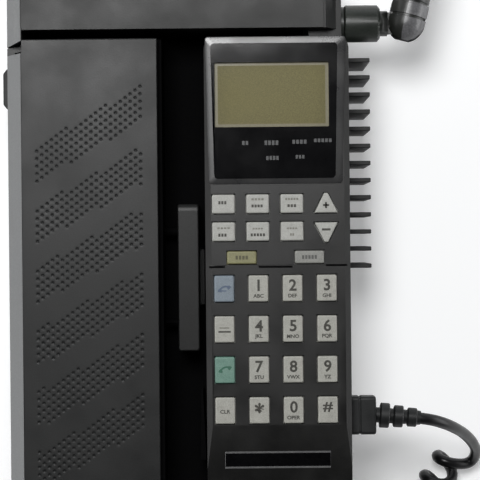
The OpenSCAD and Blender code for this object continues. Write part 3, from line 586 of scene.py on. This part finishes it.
def battery_top():
    """The cover's front face: columns of brick-bond cells, with a dimple in each cell inside a band."""
    x0, x1, y0, y1 = -64.6, -7.35, -117.55, 92.05
    z = BASE_TOP
    pitch_x, pitch_y = 2.15, 3.2
    left, right = -59.5, -13.2
    slope = 0.56
    first_low, first_high, band_pitch = 31.0, 47.0, 26.15
    verts, faces, picks = [], [], []

    def quad(a, b, c, d):
        base = len(verts)
        verts.extend([(a, c, z), (b, c, z), (b, d, z), (a, d, z)])
        faces.append((base, base + 1, base + 2, base + 3))
        picks.append(0)

    def dimple(cx, cy):
        base = len(verts)
        hw, hh = pitch_x / 2, pitch_y / 2
        square = [(hw, 0), (hw, hh), (0, hh), (-hw, hh), (-hw, 0), (-hw, -hh), (0, -hh), (hw, -hh)]
        verts.extend([(cx + x, cy + y, z) for x, y in square])
        for r, dz in ((0.88, 0.0), (0.72, -0.05), (0.5, -0.13), (0.25, -0.19)):
            verts.extend([(cx + r * math.cos(math.pi / 4 * k), cy + r * math.sin(math.pi / 4 * k), z + dz)
                          for k in range(8)])
        for level in range(4):
            for k in range(8):
                a, b = base + level * 8 + k, base + level * 8 + (k + 1) % 8
                faces.append((a, b, b + 8, a + 8))
                # The two inner rings and the floor take the darker dimple material: painted shade in the
                # hollow.
                picks.append(0 if level < 2 else 1)
        faces.append(tuple(base + 32 + k for k in range(8)))
        picks.append(1)

    quad(x0, left, y0, y1)
    quad(right, x1, y0, y1)
    columns = int(round((right - left) / pitch_x))
    pitch_x = (right - left) / columns
    for i in range(columns):
        cx = left + (i + 0.5) * pitch_x
        a, b = cx - pitch_x / 2, cx + pitch_x / 2
        shift = pitch_y / 2 if i % 2 else 0
        cells = []
        j = math.ceil((y0 + pitch_y) / pitch_y)
        y = j * pitch_y + shift
        while y < y1 - pitch_y:
            for band in range(6):
                low = first_low - band * band_pitch + slope * (cx - left)
                high = first_high - band * band_pitch + slope * (cx - left)
                if low <= y <= high:
                    cells.append(y)
            y += pitch_y
        edge = y0
        for y in cells:
            if y - pitch_y / 2 > edge + 1e-6:
                quad(a, b, edge, y - pitch_y / 2)
            dimple(cx, y)
            edge = y + pitch_y / 2
        quad(a, b, edge, y1)
    return verts, faces, picks


def battery_cover():
    verts, faces, picks = battery_top()
    half, low_y, high_y = BASE_HALF, -118.0, 92.5
    top, split, wall_in, lip, lip_low = BASE_TOP, SPLIT, -8.0, -6.9, 58.6
    slope_low = top - 11.4
    groove_x, gw, gt = -64.6, 0.45, 0.9

    def strip(profile, y_low, y_high, mat):
        """A band swept along Y through the (x, z) points of profile."""
        base = len(verts)
        for y in (y_low, y_high):
            verts.extend([(x, y, z) for x, z in profile])
        n = len(profile)
        for k in range(n - 1):
            faces.append((base + k, base + k + 1, base + n + k + 1, base + n + k))
            picks.append(mat)

    ear = 5.6
    strip([(groove_x + gw, top), (groove_x + gw, top - gt), (groove_x - gw, top - gt), (groove_x - gw, top)],
          low_y, high_y - ear, 0)
    # The left slope of the cover takes the lighter copy of the body plastic: painted light.
    strip([(groove_x - gw, top), (-half + 7, top), (-half + 6.6, top - 0.25), (-half + 0.35, slope_low),
           (-half, split + 0.1), (-half, split - 0.3)], low_y, high_y - ear - 0.4, 2)
    edge = 0.45
    strip([(lip - edge, top), (lip - edge * 0.3, top - edge * 0.3), (lip, top - edge), (lip, lip_low),
           (wall_in, 58.4), (wall_in, split)], low_y + edge, high_y - edge, 0)
    inner = groove_x + gw
    for y_end, way in ((low_y, -1), (high_y, 1)):
        y_in = y_end - way * edge
        base = len(verts)
        verts.extend([(inner, y_in, top), (lip - edge, y_in, top), (lip - edge, y_end, top - edge),
                      (inner, y_end, top - edge), (lip, y_in, top - edge)])
        faces.extend([(base, base + 1, base + 2, base + 3), (base + 1, base + 4, base + 2)])
        base = len(verts)
        outline = ((-half, split), (-half + 0.35, slope_low), (-half + 6.6, top - 0.7),
                   (lip - edge, top - edge), (lip - edge, 58.5), (wall_in, 58.4), (wall_in, split))
        verts.extend([(x, y_end, z) for x, z in outline])
        faces.append(tuple(base + k for k in range(7)))
        base = len(verts)
        verts.extend([(lip - edge, y_end, top - edge), (lip, y_in, top - edge), (lip, y_in, lip_low),
                      (lip - edge, y_end, 58.5)])
        faces.append((base, base + 1, base + 2, base + 3))
        picks.extend([0, 0, 0, 0])
    obj = build("battery_cover_face", verts, faces, [BATTERY, DIMPLE_SHADE, BODY_LEFT_PAINTED_LIGHT], picks, 40)
    return put(obj, "battery", "charcoal_plastic", "battery_cover")


battery_cover()


# ---------------------------------------------------------------- turned and ribbed pieces

def along(origin, direction):
    """A matrix that takes local Z to direction and puts the origin at origin."""
    z = Vector(direction).normalized()
    x = Vector((0, 0, 1)).cross(z)
    if x.length < 1e-6:
        x = Vector((1, 0, 0))
    x.normalize()
    y = z.cross(x)
    m = Matrix((x, y, z)).transposed().to_4x4()
    m.translation = Vector(origin)
    return m


def boot():
    """Plug body with a soft edge and the ribbed strain relief of the handset's plug."""
    verts, faces, picks = [], [], []

    def add(v, f, mat):
        base = len(verts)
        verts.extend(v)
        faces.extend(tuple(base + i for i in q) for q in f)
        picks.extend([mat] * len(f))

    x0, x1 = 74.2, 85.0
    cy, cz, w, h = -69.0, 56.0, 16.3, 10.0
    rings = []
    for x, inset in ((x0 - 4, 3.2), (x0 + 0.02, 3.2), (x0 + 0.02, 0.5), (x0 + 0.5, 0.0), (x0 + 3.2, 0.0),
                     (x0 + 3.5, 0.35), (x0 + 4.1, 0.35), (x0 + 4.4, 0.0), (x1 - 0.9, 0.0), (x1 - 0.25, 0.3),
                     (x1, 0.9)):
        rings.append([(x, cy + a, cz + b) for a, b in rounded(w - 2 * inset, h - 2 * inset, 1.4, 4)])
    v, f = stack(rings)
    add(v, f, 0)
    tilt = math.radians(-4.5)
    m = along((x1 - 1, cy, cz), (math.cos(tilt), math.sin(tilt), 0))
    profile = [(0.0, 0), (3.3, 0), (3.3, 2.6)]
    for r, z0, z1, neck in ((5.4, 2.8, 6.8, 3.3), (4.75, 8.7, 12.7, 3.15), (4.1, 14.6, 18.6, 3.1)):
        profile += [(r - 0.35, z0), (r, z0 + 0.35), (r - 0.05, z1 - 0.4), (r - 0.4, z1), (neck, z1 + 0.15)]
        profile.append((neck - 0.1, z1 + 1.6))
    profile += [(2.62, 19.6), (0.0, 19.6)]
    v, f = revolve(profile, 40, m)
    add(v, f, 0)
    obj = build("handset_plug_boot", verts, faces, [PLUG], picks, 40)
    return put(obj, "handset", "rubber_black", "handset_plug")


handset_boot = boot()


def base_boot():
    m = along((-40, -122, 13), (0, -1, 0))
    profile = [(0.0, -5), (4.9, -5), (4.9, 0), (6.6, 0), (7.0, 0.4), (7.0, 3.6), (6.5, 4.1), (5.0, 4.9)]
    for k in range(3):
        z = 5.3 + 2.1 * k
        r = 4.8 - 0.5 * k
        profile += [(r - 0.8, z), (r, z + 0.25), (r, z + 1.2), (r - 0.8, z + 1.5)]
    profile += [(3.2, 11.5), (2.6, 11.8), (0.0, 11.8)]
    v, f = revolve(profile, 40, m)
    obj = build("base_plug_boot", v, f, [PLUG], None, 40)
    return put(obj, "base", "rubber_black", "base_plug")


foot_boot = base_boot()


def clamp():
    """The side clamp's bar: soft edges and a chamfer at its head end."""
    low, high = area("side_clamp")
    x0, x1, y0, y1 = low.x, high.x - 1.8, low.y, high.y
    cx, cy, w, h = (x0 + x1) / 2, (y0 + y1) / 2, x1 - x0, y1 - y0
    rings = []
    for z, inset, head in ((low.z, 0, 0), (high.z - 1.1, 0, 0), (high.z - 0.5, 0.1, 0.5),
                           (high.z - 0.15, 0.3, 1.4), (high.z, 0.7, 2.3)):
        rings.append([(cx + x, cy + y - (head if y > 0 else 0), z)
                      for x, y in rounded(w - 2 * inset, h - 2 * inset, 0.8, 3)])
    verts, faces = stack(rings)
    lip_rings = [[(x1 + 0.4 + x, cy + y, z) for x, y in rounded(2.8, 24, 0.5, 3)]
                 for z in (low.z, low.z + 5.5)]
    v, f = stack(lip_rings)
    base = len(verts)
    verts += v
    faces += [tuple(base + i for i in face) for face in f]
    obj = build("clamp_bar", verts, faces, [CLAMP], None, 40)
    return put(obj, "side_clamp", "charcoal_plastic", "side_clamp")


clamp()


def knuckle():
    """The forked root of the antenna: a turned barrel, round at its end and slotted for the tongue."""
    lean = math.radians(LEAN)
    out = Vector((math.sin(lean), math.cos(lean), 0))
    side = Vector((math.cos(lean), -math.sin(lean), 0))
    pivot, slot, steps = Vector(HINGE), 2.76, 16
    fork = [(-7.42, 3.0), (-6.61, 4.5), (-5.51, 5.8), (-4.05, 6.9), (-2.5, 7.6), (-0.9, 7.95), (0.4, 8.0),
            (2.2, 8.0), (2.4, 7.5), (3.2, 7.5), (3.4, 8.0), (5.6, 8.0), (8.2, 8.0), (8.4, 7.8), (8.9, 7.8)]
    root = [(8.9, 7.8), (9.1, 7.4), (9.7, 7.4), (9.9, 7.9), (13.4, 7.9), (14.0, 7.3)]
    verts, faces, picks = [], [], []

    def add(rows, points):
        rings = [[tuple(pivot + out * h + side * x + Vector((0, 0, z))) for x, z in points(r)]
                 for h, r in rows]
        v, f = stack(rings)
        base = len(verts)
        verts.extend(v)
        for face in f:
            faces.append(tuple(base + i for i in face))
            mid = sum((Vector(v[i]) for i in face), Vector()) / len(face) - pivot
            h, x = mid.dot(out), mid.dot(side)
            # Faces on the barrel's left side (x < -1) take the black whip material as painted shade; the root
            # above 8.8 and the ring from 2.3 to 3.3 take it as well.
            picks.append(1 if x < -1.0 or h > 8.8 or 2.3 < h < 3.3 else 0)

    for sign in (1, -1):
        add(fork, lambda r: [(r * math.cos(math.pi * k / steps),
                              sign * max(r * math.sin(math.pi * k / steps), slot))
                             for k in range(steps + 1)])
    add(root, lambda r: [(r * math.cos(math.pi * k / steps), r * math.sin(math.pi * k / steps))
                         for k in range(2 * steps)])
    obj = build("antenna_fork", verts, faces, [KNUCKLE, WHIP_BLACK_AND_SHADE], picks, 40)
    return put(obj, "antenna", "antenna_grey", "antenna_knuckle")


knuckle()

# ---------------------------------------------------------------- cord

LEAD = [(103.4, -70.7, 56), (106.5, -71.1, 55.9), (110.5, -72.0, 54.2), (115, -73.6, 50.8),
        (119.4, -75.8, 45), (123.8, -78.6, 37), (127.8, -82, 28.6), (131, -85.8, 20.8),
        (133, -89.6, 13.6), (133.6, -93.4, 8.2), (132.6, -96.6, 5.2), (130.4, -97.8, 4.6)]
COIL = [(122.2, -91.5), (118, -98.8), (113.4, -106.8), (107.6, -115.6), (100, -124.4), (90.4, -132.4),
        (78.6, -139.4), (64.6, -144.8), (48.6, -148.2), (31.4, -149.8), (14, -150), (-2, -150), (-18, -150)]
TAIL = [(-24, -150, 6.4), (-30, -149.2, 8.4), (-35, -146.4, 10.8), (-38.6, -142, 12.2), (-40, -137, 12.9),
        (-40, -133.4, 13)]


def spline(points, count):
    """Catmull-Rom through the points, as count+1 evenly spaced ones."""
    pts = [Vector(p) for p in points]
    ext = [pts[0] * 2 - pts[1]] + pts + [pts[-1] * 2 - pts[-2]]
    fine = []
    for i in range(1, len(ext) - 2):
        a, b, c, d = ext[i - 1:i + 3]
        for k in range(24):
            t = k / 24
            fine.append(0.5 * ((2 * b) + (c - a) * t + (2 * a - 5 * b + 4 * c - d) * t * t
                               + (3 * b - a - 3 * c + d) * t ** 3))
    fine.append(pts[-1])
    dist = [0.0]
    for p, q in zip(fine, fine[1:]):
        dist.append(dist[-1] + (q - p).length)
    out, j = [], 0
    for k in range(count + 1):
        target = dist[-1] * k / count
        while j < len(dist) - 2 and dist[j + 1] < target:
            j += 1
        f = (target - dist[j]) / max(dist[j + 1] - dist[j], 1e-9)
        out.append(fine[j].lerp(fine[j + 1], f))
    return out, dist[-1]


def ease(points, middle, reach, rounds):
    """Relax the bend round one point, less and less towards the end of the reach."""
    for _ in range(rounds):
        kept = list(points)
        for i in range(middle - reach, middle + reach + 1):
            pull = 0.5 * (1 - (abs(i - middle) / (reach + 1)) ** 2)
            points[i] = kept[i].lerp((kept[i - 1] + kept[i + 1]) / 2, pull)


def cord_path():
    axis, total = spline([(x, y, 8.5) for x, y in COIL], 400)
    radius, loose_pitch, loose_turns, per_turn = 5.95, 10.0, 3.5, 16
    tight_pitch = 5.25
    tight_turns = (total - loose_pitch * loose_turns) / tight_pitch
    turns = round(loose_turns + tight_turns) + 0.25 - 25 / 360.0 + 0.5
    helix = []
    steps = int(turns * per_turn)
    start = math.radians(25)
    for i in range(steps + 1):
        turn = turns * i / steps
        along_axis = (loose_pitch * turn if turn < loose_turns
                      else loose_pitch * loose_turns
                      + (turn - loose_turns) * (total - loose_pitch * loose_turns) / (turns - loose_turns))
        f = min(along_axis / total, 1.0) * 400
        k = min(int(f), 399)
        centre = axis[k].lerp(axis[k + 1], f - k)
        tangent = (axis[k + 1] - axis[k]).normalized()
        side = Vector((0, 0, 1)).cross(tangent)
        a = start + 2 * math.pi * turn
        wander = 0.35 * math.sin(turn * 2.1) * min(1.0, turn / 2)
        wander += 0.62 * radius * math.sin(a) * max(0.0, 1 - turn / 3.5)
        helix.append(centre + (radius + 0.2 * math.sin(turn * 3.3)) * (math.cos(a) * side)
                     + Vector((0, 0, 1)) * (radius * math.sin(a)) + tangent * wander)
    lead, _ = spline(LEAD + [tuple(helix[0]), tuple(helix[1])], 44)
    tail, _ = spline([tuple(helix[-2]), tuple(helix[-1])] + TAIL, 26)
    path = lead[:-1] + helix[2:-2] + tail
    ease(path, len(lead) - 5, 10, 26)
    ease(path, len(path) - len(tail) + 1, 10, 26)
    return [Vector((p.x, p.y, max(p.z, CORD_R + 0.05))) for p in path]


def tube(name, path, radius, sides, mats):
    rings = []
    up = Vector((0, 0, 1))
    t = (path[1] - path[0]).normalized()
    u = up.cross(t).normalized()
    for i, p in enumerate(path):
        t = (path[min(i + 1, len(path) - 1)] - path[max(i - 1, 0)]).normalized()
        u = (u - t * u.dot(t)).normalized()
        v = t.cross(u)
        rings.append([tuple(p + radius * (math.cos(a) * u + math.sin(a) * v))
                      for a in (2 * math.pi * k / sides for k in range(sides))])
    verts, faces = stack(rings)
    return build(name, verts, faces, mats, None, 60)


path = cord_path()
cord = tube("curly_cord", path, CORD_R, 12, [RUBBER])
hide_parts("cord_lead", "cord_coil", "cord_tail")
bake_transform(cord)

# ---------------------------------------------------------------- housings

# Faces that face left (-X) take the lighter copy of the body plastic: painted light on that side only.
def left_painted_light_pick(p, n):
    return 1 if n.x < -0.5 and n.z < 0.9 else 0


skin("back_housing", [BODY, BODY_LEFT_PAINTED_LIGHT], "base", 0.5, pick=left_painted_light_pick)
skin("head_cover", [BODY, BODY_LEFT_PAINTED_LIGHT], "base", 0.4, pick=left_painted_light_pick)
skin("battery_case", [BATTERY, BODY_LEFT_PAINTED_LIGHT], "battery", 0.4, pick=left_painted_light_pick)
skin("deck_plate", [CRADLE], "base", 0.2)
skin("cradle", [CRADLE, BODY], "base", 0.4)
skin("heat_sink", [CASTING], "base", 0.35)
skin("battery_latch", [CASTING], "battery_latch", 0.5)
skin("handset_front", [HANDSET, HANDSET_SIDE], "handset", 0.3,
     pick=lambda p, n: 1 if n.z < 0.93 else 0)
skin("handset_back", [HANDSET_BACK], "handset", 0.4)
skin("carry_handle", [GRIP], "carry_handle", 0.6)
skin("antenna_collar", [ANTENNA, WHIP_BLACK_AND_SHADE], "antenna_collar", 0.3,
     pick=lambda p, n: 1 if p.x > 89.5 else 0)
skin("antenna_whip", [WHIP_BLACK_AND_SHADE], "antenna", 0.2)

PLAIN = {"transceiver_board": BOARD, "rf_shield": STEEL, "antenna_socket": ANTENNA, "case_screws": STEEL,
         "battery_contacts": BRASS, "handle_pins": STEEL, "hook_switch": KEY_WHITE, "battery_cells": CELL,
         "key_mat": MAT_GREY, "handset_board": BOARD, "earpiece": CRADLE, "microphone": STEEL}
for name, mat in PLAIN.items():
    mesh = nodes[name].data
    if not nodes[name].material_slots:
        mesh.materials.append(mat)
    for s in nodes[name].material_slots:
        s.material = mat

# ---------------------------------------------------------------- floor, light, camera

def floor():
    mat, _, _, shader = new_material("floor_white")
    shader.inputs["Base Color"].default_value = (0.87, 0.875, 0.88, 1)
    shader.inputs["Roughness"].default_value = 0.75
    shader.inputs["Specular IOR Level"].default_value = 0.2
    shader.inputs["Emission Color"].default_value = (1, 1, 1, 1)
    shader.inputs["Emission Strength"].default_value = 0.2
    mesh = bpy.data.meshes.new("floor")
    s, below = 3.0, -0.0002
    mesh.from_pydata([(-s, -s, below), (s, -s, below), (s, s, below), (-s, s, below)], [], [(0, 1, 2, 3)])
    mesh.materials.append(mat)
    obj = bpy.data.objects.new("floor", mesh)
    scene.collection.objects.link(obj)


floor()


def softbox(name, place, aim, size, power, size_y=None, colour=(1, 1, 1)):
    light = bpy.data.lights.new(name, "AREA")
    light.shape = "RECTANGLE"
    light.size = size
    light.size_y = size_y or size
    light.energy = power
    light.color = colour
    obj = bpy.data.objects.new(name, light)
    obj.location = place
    obj.rotation_euler = (Vector(aim) - Vector(place)).to_track_quat("-Z", "Y").to_euler()
    scene.collection.objects.link(obj)
    return obj


softbox("key", (-0.12, 0.4, 1.25), (0.02, 0.0, 0.03), 0.5, 12.5, 0.42)
softbox("left", (-1.6, 0.0, 0.35), (0, 0, 0.03), 1.6, 16.0, 0.7)
softbox("right", (1.6, 0.0, 0.4), (0, 0, 0.03), 1.6, 11.0, 0.7)


def studio():
    """A sky that is bright round the horizon, dimmer towards the foot end and dark overhead."""
    world = bpy.data.worlds.new("studio")
    scene.world = world
    world.use_nodes = True
    n, links = world.node_tree.nodes, world.node_tree.links
    split = n.new("ShaderNodeSeparateXYZ")
    links.new(n.new("ShaderNodeTexCoord").outputs["Generated"], split.inputs["Vector"])
    level = span(n, links, split.outputs["Z"], 0.1, 0.7, 1.3, 0.02)
    foot = span(n, links, split.outputs["Y"], -0.9, 0.4, 0.25, 1.0)
    both = n.new("ShaderNodeMath")
    both.operation = "MULTIPLY"
    links.new(level, both.inputs[0])
    links.new(foot, both.inputs[1])
    n["Background"].inputs["Color"].default_value = (0.96, 0.98, 1.0, 1)
    links.new(both.outputs["Value"], n["Background"].inputs["Strength"])


studio()

camera_data = bpy.data.cameras.new("camera")
camera_data.lens = 142.9
camera_data.sensor_width = 36.0
camera = bpy.data.objects.new("camera", camera_data)
camera.location = (0.02765, 0.0063, 0.872)
camera.rotation_euler = (0, 0, math.radians(-0.55))
scene.collection.objects.link(camera)
scene.camera = camera
